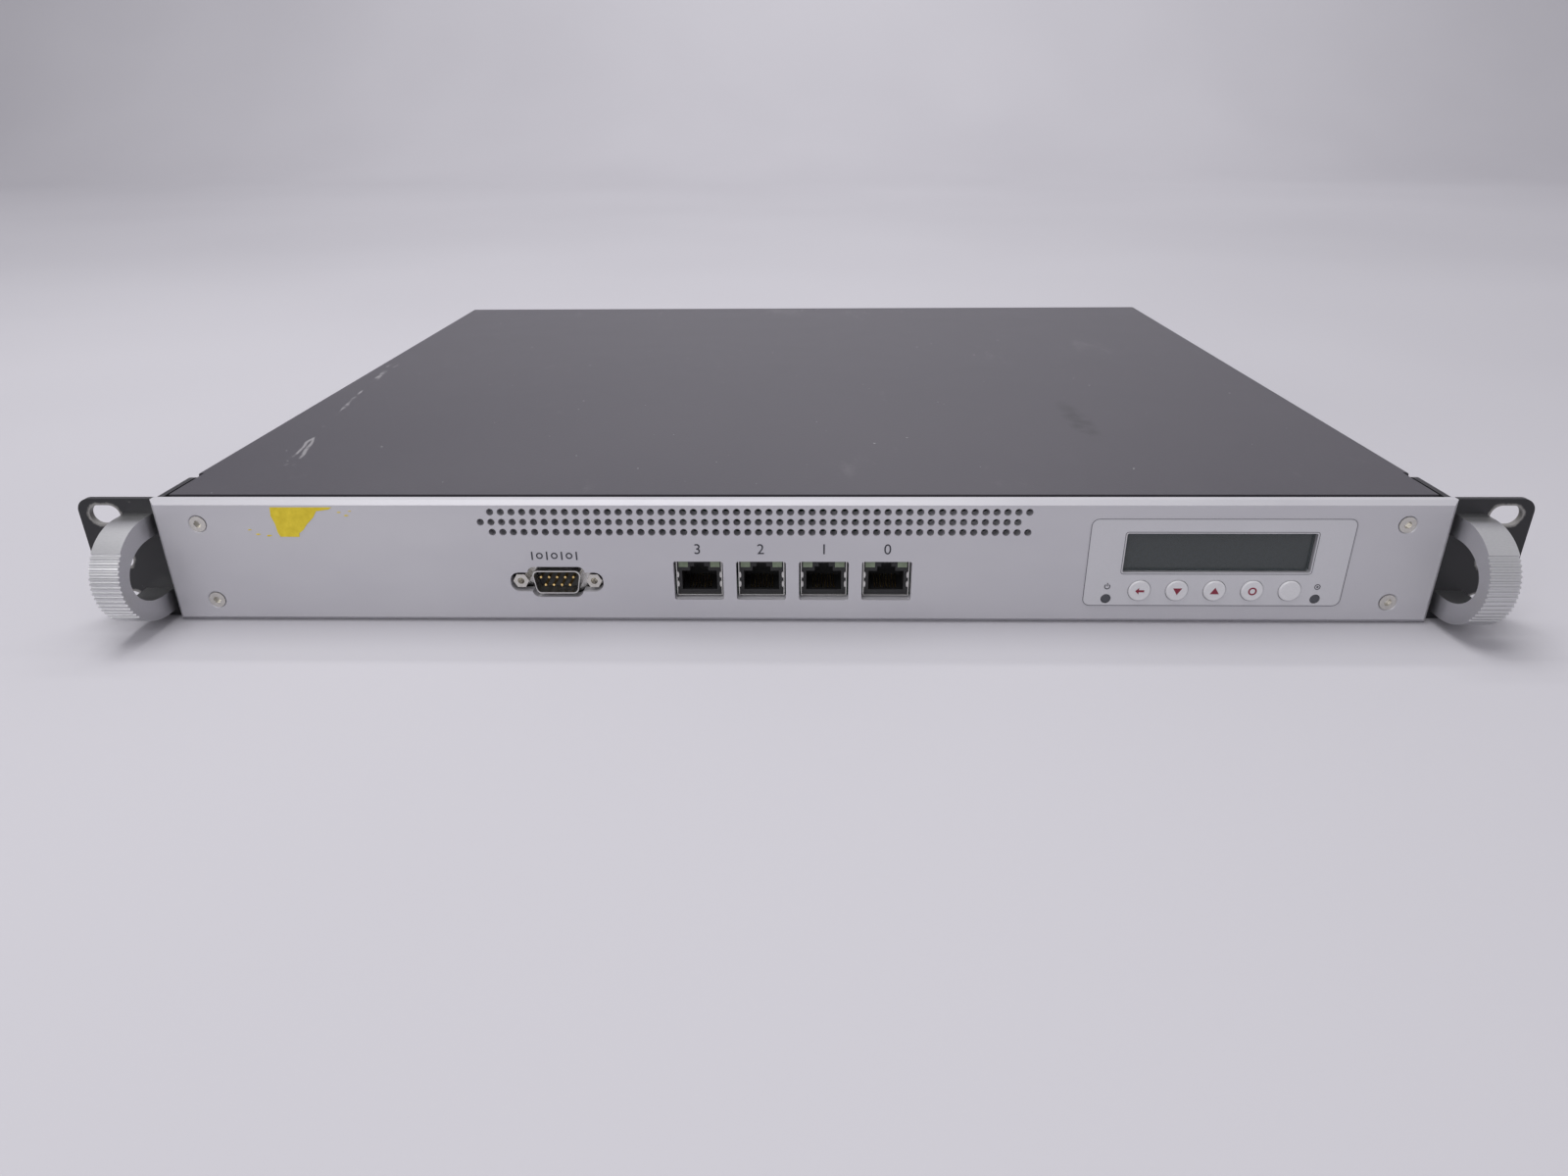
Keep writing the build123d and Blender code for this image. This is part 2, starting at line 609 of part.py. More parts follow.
def mainboard():
    board = block(PCB_X, PCB_Y, (MAIN_Z - BOARD_T, MAIN_Z))
    chips = [block((-96, -80), (80, 96), (MAIN_Z, MAIN_Z + 1.8)), block((-40, -26), (38, 52), (MAIN_Z, MAIN_Z + 1.8)),
             block((-2, 12), (38, 52), (MAIN_Z, MAIN_Z + 1.8)), block((-52, -12), (92, 132), (MAIN_Z, MAIN_Z + 3.0))]
    holes = [rod_z(x, y, SCREW_R + 0.1, MAIN_Z - 3, MAIN_Z + 1) for x, y in standoff_places()]
    for chip in chips:
        board = board + chip
    cup = rod_z(*CELL, 11.6, MAIN_Z, MAIN_Z + 4.4) - rod_z(*CELL, 10.2, MAIN_Z + 1.0, MAIN_Z + 5)
    return board + cup - holes


def board_standoffs():
    return group(rod_z(x, y, 3.0, SHEET, MAIN_Z - BOARD_T) for x, y in standoff_places())


def board_screws():
    return group(rod_z(x, y, 2.8, MAIN_Z, MAIN_Z + 1.8) + rod_z(x, y, SCREW_R, MAIN_Z - BOARD_T, MAIN_Z)
                 for x, y in standoff_places())


def heatsink():
    """A finned block on the processor."""
    base = block((-66, 2), (82, 142), (MAIN_Z + 3.0, MAIN_Z + 7.0))
    for i in range(14):
        x = -66 + i * (68 - 1.2) / 13
        base = base + block((x, x + 1.2), (82, 142), (MAIN_Z + 7.0, TRAY_TOP - 4.0))
    return base


def memory_socket(y):
    return block((18, 56), (y - 3, y + 3), (MAIN_Z, MAIN_Z + 8)) - \
        block((20, 54), (y - 0.7, y + 0.7), (MAIN_Z + 2, MAIN_Z + 9))


def memory_module(y):
    card = block((20.2, 53.8), (y - 0.6, y + 0.6), (MAIN_Z + 2, MAIN_Z + 30))
    chips = [block((x, x + 6), (y + 0.6, y + 1.6), (MAIN_Z + 11, MAIN_Z + 21)) for x in (22, 30, 38, 46)]
    for chip in chips:
        card = card + chip
    return card


def coin_cell():
    return rod_z(*CELL, 10.0, MAIN_Z + 1.0, MAIN_Z + 4.2)


def hard_drive():
    x0 = DRIVE_X - DRIVE_W / 2
    base = SHEET + 4.0
    case = block((x0, x0 + DRIVE_W), (DRIVE_Y, DRIVE_Y + DRIVE_L), (base, base + DRIVE_H))
    case = chamfer(case.edges().filter_by(Axis.Z), 3.0)
    lid = Pos(DRIVE_X, DRIVE_Y + DRIVE_L - DRIVE_W / 2 + 2, base + DRIVE_H) * Cylinder(DRIVE_W / 2 - 8, 0.8)
    return case + lid


def drive_bracket():
    """Two rails that lift the drive off the floor."""
    rails = []
    for s in (-1, 1):
        x = DRIVE_X + s * (DRIVE_W / 2 - 6)
        rails.append(block((x - 5, x + 5), (DRIVE_Y + 4, DRIVE_Y + DRIVE_L - 4), (SHEET, SHEET + 4.0)))
    return group(rails)


# ---- fans ----------------------------------------------------------------------------
def fan_screw_places():
    """X and Z of the screws that hold the rear fans and their guards."""
    return [(x + sx * 16.0, FAN_Z + sz * 16.0) for x in FAN_X for sx in (-1, 1) for sz in (-1, 1)]


def fan_frame(x, z, back, depth):
    """A square fan frame with its motor seat on three spokes."""
    frame = block((x - FAN / 2, x + FAN / 2), (back - depth, back), (z - FAN / 2, z + FAN / 2))
    frame = fillet(frame.edges().filter_by(Axis.Y), 3.0)
    frame = frame - rod_y(x, z, FAN_BORE_R, back - depth - 1, back + 1)
    seat = rod_y(x, z, HUB_R, back - 2.0, back)
    for turn in (90, 210, 330):
        spoke = Pos(x, back - 1.0, z) * Rot(0, turn, 0) * Pos(FAN_BORE_R / 2 + 0.5, 0, 0) * Box(FAN_BORE_R, 2.0, 2.4)
        seat = seat + spoke
    axle = rod_y(x, z, 1.0, back - depth + 2.0, back - 1.0)
    frame = frame + seat + axle
    for sx in (-1, 1):
        for sz in (-1, 1):
            frame = frame - rod_y(x + sx * 16.0, z + sz * 16.0, SCREW_R + 0.1, back - depth - 1, back + 1)
    return frame


def fan_rotor(x, z, back, depth):
    """Hub and twisted blades that turn on the frame's axle."""
    front = back - depth + 1.0
    hub = rod_y(x, z, HUB_R - 0.6, front, back - 2.6)
    rotor = hub
    for i in range(BLADES):
        blade = Pos((HUB_R + ROTOR_R) / 2 - 1.2, 0, 0) * Rot(38, 0, 0) * Box(ROTOR_R - HUB_R + 1.6, depth * 0.62, 1.0)
        rotor = rotor + Pos(x, (front + back - 2.6) / 2, z) * Rot(0, i * 360 / BLADES, 0) * blade
    shell = rod_y(x, z, ROTOR_R, front, back - 2.6)
    return (rotor & shell) - rod_y(x, z, 1.05, front + 0.6, back)


def fan_guard(x):
    """A finger guard of three rings and four arms on the back wall."""
    wire = 0.7
    span = (CHASSIS_D + 0.1, CHASSIS_D + 1.5)
    outline = Sketch()
    for r in (7.0, 12.0, 17.0):
        outline = outline + (Circle(r + wire) - Circle(r - wire))
    for turn in (45, 135, 225, 315):
        outline = outline + Rot(0, 0, turn) * Pos(14.2, 0) * Rectangle(14.4, 2 * wire)
    for dx, dz in ((-16, -16), (-16, 16), (16, -16), (16, 16)):
        outline = outline + Pos(dx, dz) * Circle(2.7)
    for dx, dz in ((-16, -16), (-16, 16), (16, -16), (16, 16)):
        outline = outline - Pos(dx, dz) * Circle(SCREW_R + 0.1)
    return along_y(Pos(x, FAN_Z) * outline, *span)


def rear_screws():
    """Screws of the rear fans and of the blank plate, driven in flush from behind."""
    screws = [rod_y(x, z, SCREW_R, CHASSIS_D - 14.0, CHASSIS_D + 1.5) for x, z in fan_screw_places()]
    for x in (-32.0, 72.0):
        screws.append(rod_y(x, 22.0, SCREW_R, CHASSIS_D - 6.0, CHASSIS_D)
                      + rod_y(x, 22.0, 2.6, CHASSIS_D + 1.0, CHASSIS_D + PROUD)
                      + rod_y(x, 22.0, SCREW_R, CHASSIS_D, CHASSIS_D + 1.0))
    return group(screws)


# ---- power supply --------------------------------------------------------------------
INLET_X = PSU_X + 22.0
INLET_Z = PSU_Z + PSU_H / 2
ROCKER_X = PSU_X - 2.0
PSU_FAN_X = PSU_X - 27.0
SUPPLY_FAN_R = 12.0


def power_supply_case():
    """A folded steel box with its inlet, switch and exhaust holes at the back."""
    x0, x1 = PSU_X - PSU_W / 2, PSU_X + PSU_W / 2
    wall = 1.0
    box = block((x0, x1), PSU_Y, (PSU_Z, PSU_Z + PSU_H))
    box = box - block((x0 + wall, x1 - wall), (PSU_Y[0] + wall, PSU_Y[1] - wall), (PSU_Z + wall, PSU_Z + PSU_H - wall))
    back = (REAR_Y - 2, REAR_Y + 1)
    box = box - block((INLET_X - INLET_W / 2, INLET_X + INLET_W / 2), back, (INLET_Z - INLET_H / 2, INLET_Z + INLET_H / 2))
    box = box - block((ROCKER_X - ROCKER_W / 2, ROCKER_X + ROCKER_W / 2), back,
                      (INLET_Z - ROCKER_H / 2, INLET_Z + ROCKER_H / 2))
    grille = []
    for ring, count in ((0, 1), (4.0, 6), (8.0, 12), (11.6, 18)):
        for i in range(count):
            turn = 2 * math.pi * i / count
            grille.append(rod_y(PSU_FAN_X + ring * math.cos(turn), INLET_Z + ring * math.sin(turn), 1.3, *back))
    return box - grille


def power_inlet():
    """A three-blade mains inlet with its rim on the back of the supply."""
    rim = window(INLET_X, INLET_Z, INLET_W + 3.5, INLET_H + 3.5, 2.0, REAR_Y, CHASSIS_D + PROUD)
    body = block((INLET_X - INLET_W / 2 + 0.1, INLET_X + INLET_W / 2 - 0.1), (REAR_Y - 20, REAR_Y),
                 (INLET_Z - INLET_H / 2 + 0.1, INLET_Z + INLET_H / 2 - 0.1))
    well = window(INLET_X, INLET_Z, 24.2, 16.4, 2.0, CHASSIS_D - 15.5, CHASSIS_D + 3)
    inlet = rim + body - well
    for dx, dz in ((-7.0, -2.0), (0.0, 2.0), (7.0, -2.0)):
        inlet = inlet + block((INLET_X + dx - 1.0, INLET_X + dx + 1.0), (CHASSIS_D - 16, CHASSIS_D - 3),
                              (INLET_Z + dz - 2.0, INLET_Z + dz + 2.0))
    return inlet


def switch_frame():
    """The frame that the power rocker tilts in."""
    frame = window(ROCKER_X, INLET_Z, ROCKER_W + 2.4, ROCKER_H + 2.4, 1.0, REAR_Y, CHASSIS_D + 0.8)
    body = block((ROCKER_X - ROCKER_W / 2 + 0.1, ROCKER_X + ROCKER_W / 2 - 0.1), (REAR_Y - 12, REAR_Y),
                 (INLET_Z - ROCKER_H / 2 + 0.1, INLET_Z + ROCKER_H / 2 - 0.1))
    well = block((ROCKER_X - ROCKER_W / 2 + 1.4, ROCKER_X + ROCKER_W / 2 - 1.4), (REAR_Y - 10.5, CHASSIS_D + 2),
                 (INLET_Z - ROCKER_H / 2 + 1.2, INLET_Z + ROCKER_H / 2 - 1.2))
    pin = rod_x(CHASSIS_D - 5.0, INLET_Z, 0.8, ROCKER_X - ROCKER_W / 2 + 1.0, ROCKER_X + ROCKER_W / 2 - 1.0)
    return (frame + body - well) + pin


def power_rocker():
    """The two-way rocker, resting level between its tilts."""
    half = ROCKER_W / 2 - 1.7
    pivot = CHASSIS_D - 5.0
    reach = ROCKER_H / 2 - ROCKER_TIP_GAP
    side = make_face(Polyline((pivot - 2.0, INLET_Z - 3.0), (pivot + 3.4, INLET_Z - reach), (pivot + 6.0, INLET_Z - reach),
                              (pivot + 5.0, INLET_Z), (pivot + 6.0, INLET_Z + reach), (pivot + 3.4, INLET_Z + reach),
                              (pivot - 2.0, INLET_Z + 3.0), close=True))
    rocker = along_x(side, ROCKER_X - half, ROCKER_X + half)
    return rocker - rod_x(pivot, INLET_Z, 0.86, ROCKER_X - half - 1, ROCKER_X + half + 1)


def power_supply_board():
    """The supply's board with its transformer, capacitors and cooler."""
    floor = PSU_Z + 1.0
    board = block((PSU_X - 36, PSU_X + 36), (PSU_Y[0] + 6, PSU_Y[1] - 26), (floor + 3.0, floor + 4.6))
    for x in (-30, 30):
        for y in (12, 110):
            board = board + rod_z(PSU_X + x, PSU_Y[0] + y, 2.5, floor, floor + 3.0)
    top = floor + 4.6
    board = board + block((PSU_X - 14, PSU_X + 14), (PSU_Y[0] + 44, PSU_Y[0] + 72), (top, top + 24))
    board = board + block((PSU_X - 32, PSU_X - 28), (PSU_Y[0] + 20, PSU_Y[0] + 100), (top, top + 26))
    for y in (88, 106):
        board = board + rod_z(PSU_X + 20, PSU_Y[0] + y, 8.0, top, top + 26)
    return board


# ---- leads ---------------------------------------------------------------------------
def lead(points, radius, bends):
    """A round lead along straight runs joined by tangent arcs."""
    path = FilletPolyline(*points, radius=bends)
    start = Plane(origin=path @ 0, z_dir=path % 0)
    return sweep(start * Circle(radius), path=path)


def display_lead():
    """From the display board back to the mainboard's edge."""
    y = SHOW_Y + BOARD_T
    return lead([(90.0 + 22, y, 26.0), (112.0, y + 22, 26.0), (80.0, y + 40, 26.0), (50.0, y + 40, 20.0),
                 (50.0, y + 40, MAIN_Z)], 1.6, 6.0)


def drive_lead():
    """From the back of the drive to the mainboard."""
    y = DRIVE_Y + DRIVE_L
    return lead([(-120.0, y, 16.0), (-120.0, y + 24, 16.0), (-98.0, y + 30, 20.0), (-98.0, y + 30, MAIN_Z)], 1.8, 5.0)


def power_lead():
    """From the supply forward to the mainboard."""
    y = PSU_Y[0]
    return lead([(150.0, y, 26.0), (150.0, y - 24, 26.0), (90.0, y - 24, 26.0), (48.0, y - 24, 24.0),
                 (48.0, y - 24, MAIN_Z)], 2.6, 7.0)


def main():
    os.makedirs("parts", exist_ok=True)
    save("front_panel", front_panel())
    save("front_panel_screws", front_panel_screws())
    save("chassis_base", chassis_base())
    save("rear_panel", rear_panel())
    save("expansion_cover", expansion_cover())
    save("top_cover", top_cover())
    save("cover_screws", cover_screws())
    for name, side in (("left", -1), ("right", 1)):
        save(f"{name}_rack_ear", rack_ear(side))
        save(f"{name}_handle", handle(side))
    save("ear_screws", ear_screws())
    save("handle_screws", handle_screws())
    save("console_shell", console_shell())
    save("console_insert", console_insert())
    save("console_pins", console_pins())
    save("console_jack_screws", jack_screws())
    for i, x in enumerate(PORT_XS):
        number = PORTS - 1 - i
        save(f"port_{number}_shield", jack_shield(x))
        save(f"port_{number}_insert", jack_insert(x))
    save("port_contacts", group(jack_contacts(x) for x in PORT_XS))
    save("port_lamps", port_lamps())
    save("display_overlay", display_overlay())
    save("display_window", display_window())
    save("display_module", display_module())
    save("display_board", display_board())
    save("display_posts", display_posts())
    for i, x in enumerate(KEY_XS):
        save(f"key_{i + 1}", key(x))
    save("key_switches", key_switches())
    save("status_lamps", group(status_lamp(x) for x in LED_X))
    save("mainboard", mainboard())
    save("board_standoffs", board_standoffs())
    save("board_screws", board_screws())
    save("processor_heatsink", heatsink())
    save("memory_sockets", group([memory_socket(160), memory_socket(176)]))
    save("memory_modules", group([memory_module(160), memory_module(176)]))
    save("coin_cell", coin_cell())
    save("hard_drive", hard_drive())
    save("drive_rails", drive_bracket())
    for i, x in enumerate(FAN_X):
        save(f"rear_fan_{i + 1}_frame", fan_frame(x, FAN_Z, REAR_Y, FAN_D))
        save(f"rear_fan_{i + 1}_rotor", fan_rotor(x, FAN_Z, REAR_Y, FAN_D))
    save("fan_guards", group(fan_guard(x) for x in FAN_X))
    save("rear_screws", rear_screws())
    save("power_supply_case", power_supply_case())
    save("power_supply_board", power_supply_board())
    save("power_inlet", power_inlet())
    save("switch_frame", switch_frame())
    save("power_rocker", power_rocker())
    save("internal_leads", group([display_lead(), drive_lead(), power_lead()]))


main()
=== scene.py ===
import bpy
import json
import math
import mathutils
import random
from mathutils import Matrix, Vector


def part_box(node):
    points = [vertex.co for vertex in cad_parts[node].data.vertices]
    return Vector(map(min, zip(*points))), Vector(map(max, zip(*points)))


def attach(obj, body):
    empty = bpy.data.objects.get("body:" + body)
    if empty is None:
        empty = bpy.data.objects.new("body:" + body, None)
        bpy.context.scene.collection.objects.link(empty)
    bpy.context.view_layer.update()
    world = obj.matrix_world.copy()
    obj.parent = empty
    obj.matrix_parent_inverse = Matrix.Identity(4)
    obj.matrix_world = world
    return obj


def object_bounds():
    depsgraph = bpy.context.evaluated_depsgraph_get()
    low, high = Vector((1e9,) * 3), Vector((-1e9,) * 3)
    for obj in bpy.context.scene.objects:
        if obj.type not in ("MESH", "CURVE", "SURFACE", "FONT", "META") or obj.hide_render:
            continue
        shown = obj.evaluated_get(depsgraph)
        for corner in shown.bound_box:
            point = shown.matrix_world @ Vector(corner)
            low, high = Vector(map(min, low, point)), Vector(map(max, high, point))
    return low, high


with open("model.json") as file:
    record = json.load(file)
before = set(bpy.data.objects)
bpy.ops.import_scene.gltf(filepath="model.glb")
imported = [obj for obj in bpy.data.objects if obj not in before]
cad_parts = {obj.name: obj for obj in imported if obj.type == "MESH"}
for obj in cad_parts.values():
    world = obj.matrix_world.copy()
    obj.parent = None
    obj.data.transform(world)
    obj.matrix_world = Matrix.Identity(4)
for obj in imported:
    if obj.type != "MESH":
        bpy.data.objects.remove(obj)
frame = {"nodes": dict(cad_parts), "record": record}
cad_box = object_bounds()
nodes = frame["nodes"]
scene = bpy.context.scene
random.seed(7)

# ---- places read from the frame, metres ----------------------------------------------
MM = 0.001
ROOT = "chassis"
FACE_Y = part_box("front_panel")[0][1]
overlay_low, overlay_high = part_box("display_overlay")
FILM_Y = overlay_low[1]

# ---- places that only part.py holds, repeated here -----------------------------------
SLOT_X = 0.23255              # middle of the ears' slots, either side of the centre
SLOT_MID_Z = 0.02185          # height of the middle slot
SLOT_PITCH = 0.015875         # from one slot to the next
SLOT_HALF_HEIGHT = 0.0035
SLOT_HALF_RUN = 0.0017        # half of a slot's straight part

# ---- printing ------------------------------------------------------------------------
PRINT_THICK = 0.00006
TEXT_HALF_THICK = 0.00003
PORT_NUMBER_Z = 27.0 * MM
PORT_NUMBER_SIZE = 5.2 * MM
SERIAL_MARK_Z = 24.7 * MM
SERIAL_MARK_STEP = 2.5 * MM
LAMP_MARK_RISE = 4.5 * MM     # from a status lamp's middle up to its symbol
LAMP_RADIUS = 2.0 * MM
FULL_TURN = (0, 360)

# ---- camera, from the fit to the photograph ------------------------------------------
SENSOR_WIDTH = 36.0
FOCAL_PIXELS = 1052.0
IMAGE_PIXELS = 1600.0
CAMERA_X, CAMERA_AHEAD, CAMERA_Z = 0.00405, 0.3169, 0.1594
YAW, PITCH, ROLL = -1.41, 24.79, 0.47


def centre(node):
    """Middle of a CAD node's box at rest."""
    low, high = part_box(node)
    return [(a + b) / 2 for a, b in zip(low, high)]


# ---- materials -----------------------------------------------------------------------
class Shader:
    """A small wrapper that adds linked nodes to one material."""

    def __init__(self, name):
        self.material = bpy.data.materials.new(name)
        self.material.use_nodes = True
        self.tree = self.material.node_tree
        self.bsdf = self.tree.nodes["Principled BSDF"]
        self.place = self.add("ShaderNodeTexCoord").outputs["Object"]

    def add(self, kind, **values):
        """A new node with the given settings."""
        node = self.tree.nodes.new(kind)
        for key, value in values.items():
            setattr(node, key, value)
        return node

    def link(self, source, target):
        self.tree.links.new(source, target)

    def math(self, operation, a, b=0.0, clamp=False):
        """One sum over sockets or plain numbers."""
        node = self.add("ShaderNodeMath", operation=operation, use_clamp=clamp)
        for socket, value in zip(node.inputs, (a, b)):
            if isinstance(value, (int, float)):
                socket.default_value = value
            else:
                self.link(value, socket)
        return node.outputs[0]

    def length(self, a, b):
        """The length of the flat vector (a, b)."""
        return self.math("SQRT", self.square_sum(a, b))

    def square_sum(self, a, b):
        return self.math("ADD", self.math("MULTIPLY", a, a), self.math("MULTIPLY", b, b))

    def stretched(self, scale):
        """The object's own coordinates, scaled along each axis."""
        node = self.add("ShaderNodeMapping")
        node.inputs["Scale"].default_value = scale
        self.link(self.place, node.inputs["Vector"])
        return node.outputs[0]

    def noise(self, scale, detail=3.0, rough=0.55, stretch=(1, 1, 1)):
        node = self.add("ShaderNodeTexNoise")
        node.inputs["Scale"].default_value = scale
        node.inputs["Detail"].default_value = detail
        node.inputs["Roughness"].default_value = rough
        self.link(self.stretched(stretch), node.inputs["Vector"])
        return node.outputs["Fac"]

    def band(self, value, low, high, to_low=0.0, to_high=1.0):
        """The value mapped from low..high to to_low..to_high, and held at both ends."""
        node = self.add("ShaderNodeMapRange")
        limits = {"From Min": low, "From Max": high, "To Min": to_low, "To Max": to_high}
        for key, number in limits.items():
            node.inputs[key].default_value = number
        self.link(value, node.inputs["Value"])
        return node.outputs[0]

    def mix(self, factor, a, b):
        """Two colours, a at factor 0 and b at factor 1."""
        node = self.add("ShaderNodeMix", data_type="RGBA")
        self.link(factor, node.inputs[0])
        for socket, value in ((node.inputs[6], a), (node.inputs[7], b)):
            if isinstance(value, tuple):
                socket.default_value = (*value, 1.0)
            else:
                self.link(value, socket)
        return node.outputs[2]

    def axes(self):
        """The object's own X, Y and Z."""
        node = self.add("ShaderNodeSeparateXYZ")
        self.link(self.place, node.inputs[0])
        return node.outputs

    def bump(self, height, strength, distance):
        node = self.add("ShaderNodeBump")
        node.inputs["Strength"].default_value = strength
        node.inputs["Distance"].default_value = distance
        self.link(height, node.inputs["Height"])
        self.link(node.outputs[0], self.bsdf.inputs["Normal"])

    def base(self, colour, metallic=0.0, ior=1.45):
        if isinstance(colour, tuple):
            self.bsdf.inputs["Base Color"].default_value = (*colour, 1.0)
        else:
            self.link(colour, self.bsdf.inputs["Base Color"])
        self.bsdf.inputs["Metallic"].default_value = metallic
        self.bsdf.inputs["IOR"].default_value = ior

    def rough(self, source, low, high):
        self.link(self.band(source, 0.25, 0.75, low, high), self.bsdf.inputs["Roughness"])


def surface(name, dark, light, metallic, rough, grain, bump, stretch=(1, 1, 1), wear=None):
    """A general finish: two tones over a grain, its roughness and a fine bump."""
    s = Shader(name)
    fine = s.noise(grain, stretch=stretch)
    broad = s.noise(14.0, 2.0)
    tone = s.mix(s.band(s.math("ADD", fine, broad), 0.7, 1.3), dark, light)
    if wear:
        worn = s.band(s.noise(60.0, 6.0, 0.7), 0.68, 0.78)
        tone = s.mix(worn, tone, wear)
    s.base(tone, metallic)
    s.rough(broad, *rough)
    s.bump(fine, *bump)
    return s.material


def panel_finish():
    """Bead-blasted anodised aluminium, a touch violet, with faint handling marks."""
    s = Shader("panel_anodised")
    grain = s.noise(2600.0, 2.0)
    cloud = s.noise(9.0, 3.0, 0.6, (1, 1, 2.5))
    marks = s.band(s.noise(38.0, 8.0, 0.75, (0.6, 1, 2.0)), 0.62, 0.8)
    tone = s.mix(s.band(cloud, 0.3, 0.7), (0.48, 0.472, 0.505), (0.54, 0.532, 0.56))
    tone = s.mix(s.math("MULTIPLY", marks, 0.35), tone, (0.60, 0.59, 0.60))
    s.base(tone, 0.35)
    s.rough(cloud, 0.40, 0.50)
    s.bump(grain, 0.12, 0.0001)
    return s.material


def cover_scratch(s, x, y):
    """A broken line along the cover's left edge, part of a very large circle."""
    centre_x, centre_y, radius = 1.1431, 0.1300, 1.3538
    edge, fade = 0.0003, 0.0009
    wobble = 0.0025
    reach = s.length(s.math("SUBTRACT", x, centre_x), s.math("SUBTRACT", y, centre_y))
    off = s.math("ABSOLUTE", s.math("SUBTRACT", reach, radius))
    wander = s.math("MULTIPLY", s.band(s.noise(30.0, 2.0), 0.3, 0.7, -1.0, 1.0), wobble)
    line = s.band(s.math("ABSOLUTE", s.math("ADD", off, wander)), fade, edge)
    left_half = s.band(x, 0.0, -0.1)
    from_front, to_back = s.band(y, -0.134, -0.130), s.band(y, 0.034, 0.022)
    span = s.math("MULTIPLY", s.math("MULTIPLY", left_half, from_front), to_back)
    broken = s.band(s.noise(75.0, 3.0), 0.42, 0.52)
    return s.math("MULTIPLY", s.math("MULTIPLY", line, span, True), broken, True)


def cover_smear(s, x, y):
    """A dark oval rub on the cover's right half, longest from front to back."""
    smear_x, smear_y, half_wide, half_long = 0.115, -0.075, 0.006, 0.034
    across = s.math("DIVIDE", s.math("SUBTRACT", x, smear_x), half_wide)
    along = s.math("DIVIDE", s.math("SUBTRACT", y, smear_y), half_long)
    oval = s.band(s.square_sum(across, along), 1.0, 0.2)
    return s.math("MULTIPLY", oval, s.band(s.noise(110.0, 4.0), 0.4, 0.6), True)


def cover_finish():
    """Dark powder coat with a long curved scratch, a dark smear, dust specks and rubs."""
    s = Shader("cover_powder_coat")
    grain = s.noise(1500.0, 3.0)
    cloud = s.noise(6.0, 4.0, 0.6)
    x, y, _ = s.axes()
    specks = s.band(s.noise(420.0, 1.0), 0.80, 0.82)
    rubs = s.band(s.noise(22.0, 6.0, 0.7, (1, 0.4, 1)), 0.62, 0.74)
    tone = s.mix(s.band(cloud, 0.3, 0.7), (0.040, 0.037, 0.046), (0.056, 0.052, 0.062))
    for mark, strength, colour in ((cover_scratch(s, x, y), 0.55, (0.36, 0.35, 0.36)),
                                   (cover_smear(s, x, y), 0.6, (0.012, 0.012, 0.014)),
                                   (specks, 0.6, (0.5, 0.5, 0.5)),
                                   (rubs, 0.25, (0.20, 0.19, 0.20))):
        tone = s.mix(s.math("MULTIPLY", mark, strength), tone, colour)
    s.base(tone, 0.0, 1.5)
    s.rough(cloud, 0.34, 0.44)
    s.bump(grain, 0.25, 0.00015)
    return s.material


def ear_finish():
    """Black paint, rubbed to bare metal around the three slots by washers."""
    s = Shader("ear_black_paint")
    ring_fade, ring_full = 0.0013, 0.0007
    x, _, z = s.axes()
    from_middle = s.math("ABSOLUTE", s.math("SUBTRACT", s.math("ABSOLUTE", x), SLOT_X))
    dx = s.math("MAXIMUM", s.math("SUBTRACT", from_middle, SLOT_HALF_RUN), 0.0)
    # four pitches keep the sum above zero, and the fold gives the way to the nearest slot
    lifted = s.math("ADD", s.math("SUBTRACT", z, SLOT_MID_Z), SLOT_PITCH * 4)
    dz = s.math("PINGPONG", lifted, SLOT_PITCH / 2)
    ragged = s.math("MULTIPLY", s.band(s.noise(500.0, 4.0), 0.3, 0.7), 0.0007)
    away = s.math("ADD", s.length(dx, dz), ragged)
    washer = s.band(away, SLOT_HALF_HEIGHT + ring_fade, SLOT_HALF_HEIGHT + ring_full)
    scuff = s.band(s.noise(220.0, 6.0, 0.75), 0.66, 0.72)
    worn = s.math("MAXIMUM", s.math("MULTIPLY", washer, 0.75), s.math("MULTIPLY", scuff, 0.5))
    tone = s.mix(worn, (0.012, 0.012, 0.014), (0.30, 0.29, 0.28))
    s.base(tone, 0.0, 1.5)
    s.rough(scuff, 0.35, 0.5)
    s.bump(s.noise(1400.0), 0.2, 0.0001)
    return s.material


def lcd_finish():
    """The display's dark blue-grey face, with painted light and shade: paler towards its foot, darker
    towards its top.
    """
    s = Shader("lcd_face")
    fine = s.noise(900.0)
    low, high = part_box("display_window")
    # painted light and shade: a ramp over the face's height, pale at the foot and dark at the top
    painted_light_ramp = s.band(s.axes()[2], low[2], high[2])
    tone = s.mix(painted_light_ramp, (0.24, 0.32, 0.44), (0.10, 0.13, 0.185))
    tone = s.mix(s.math("MULTIPLY", s.band(fine, 0.4, 0.6), 0.2), tone, (0.12, 0.15, 0.16))
    s.base(tone, 0.0, 1.5)
    s.rough(fine, 0.12, 0.2)
    s.bump(fine, 0.05, 0.00005)
    return s.material


def glass_finish():
    """The display's clear window, faintly blue-green."""
    s = Shader("window_clear")
    s.base((0.62, 0.70, 0.72), 0.0, 1.46)
    s.bsdf.inputs["Transmission Weight"].default_value = 0.92
    s.rough(s.noise(40.0), 0.02, 0.08)
    return s.material


PANEL = panel_finish()
COVER = cover_finish()
EAR = ear_finish()
LCD = lcd_finish()
GLASS = glass_finish()
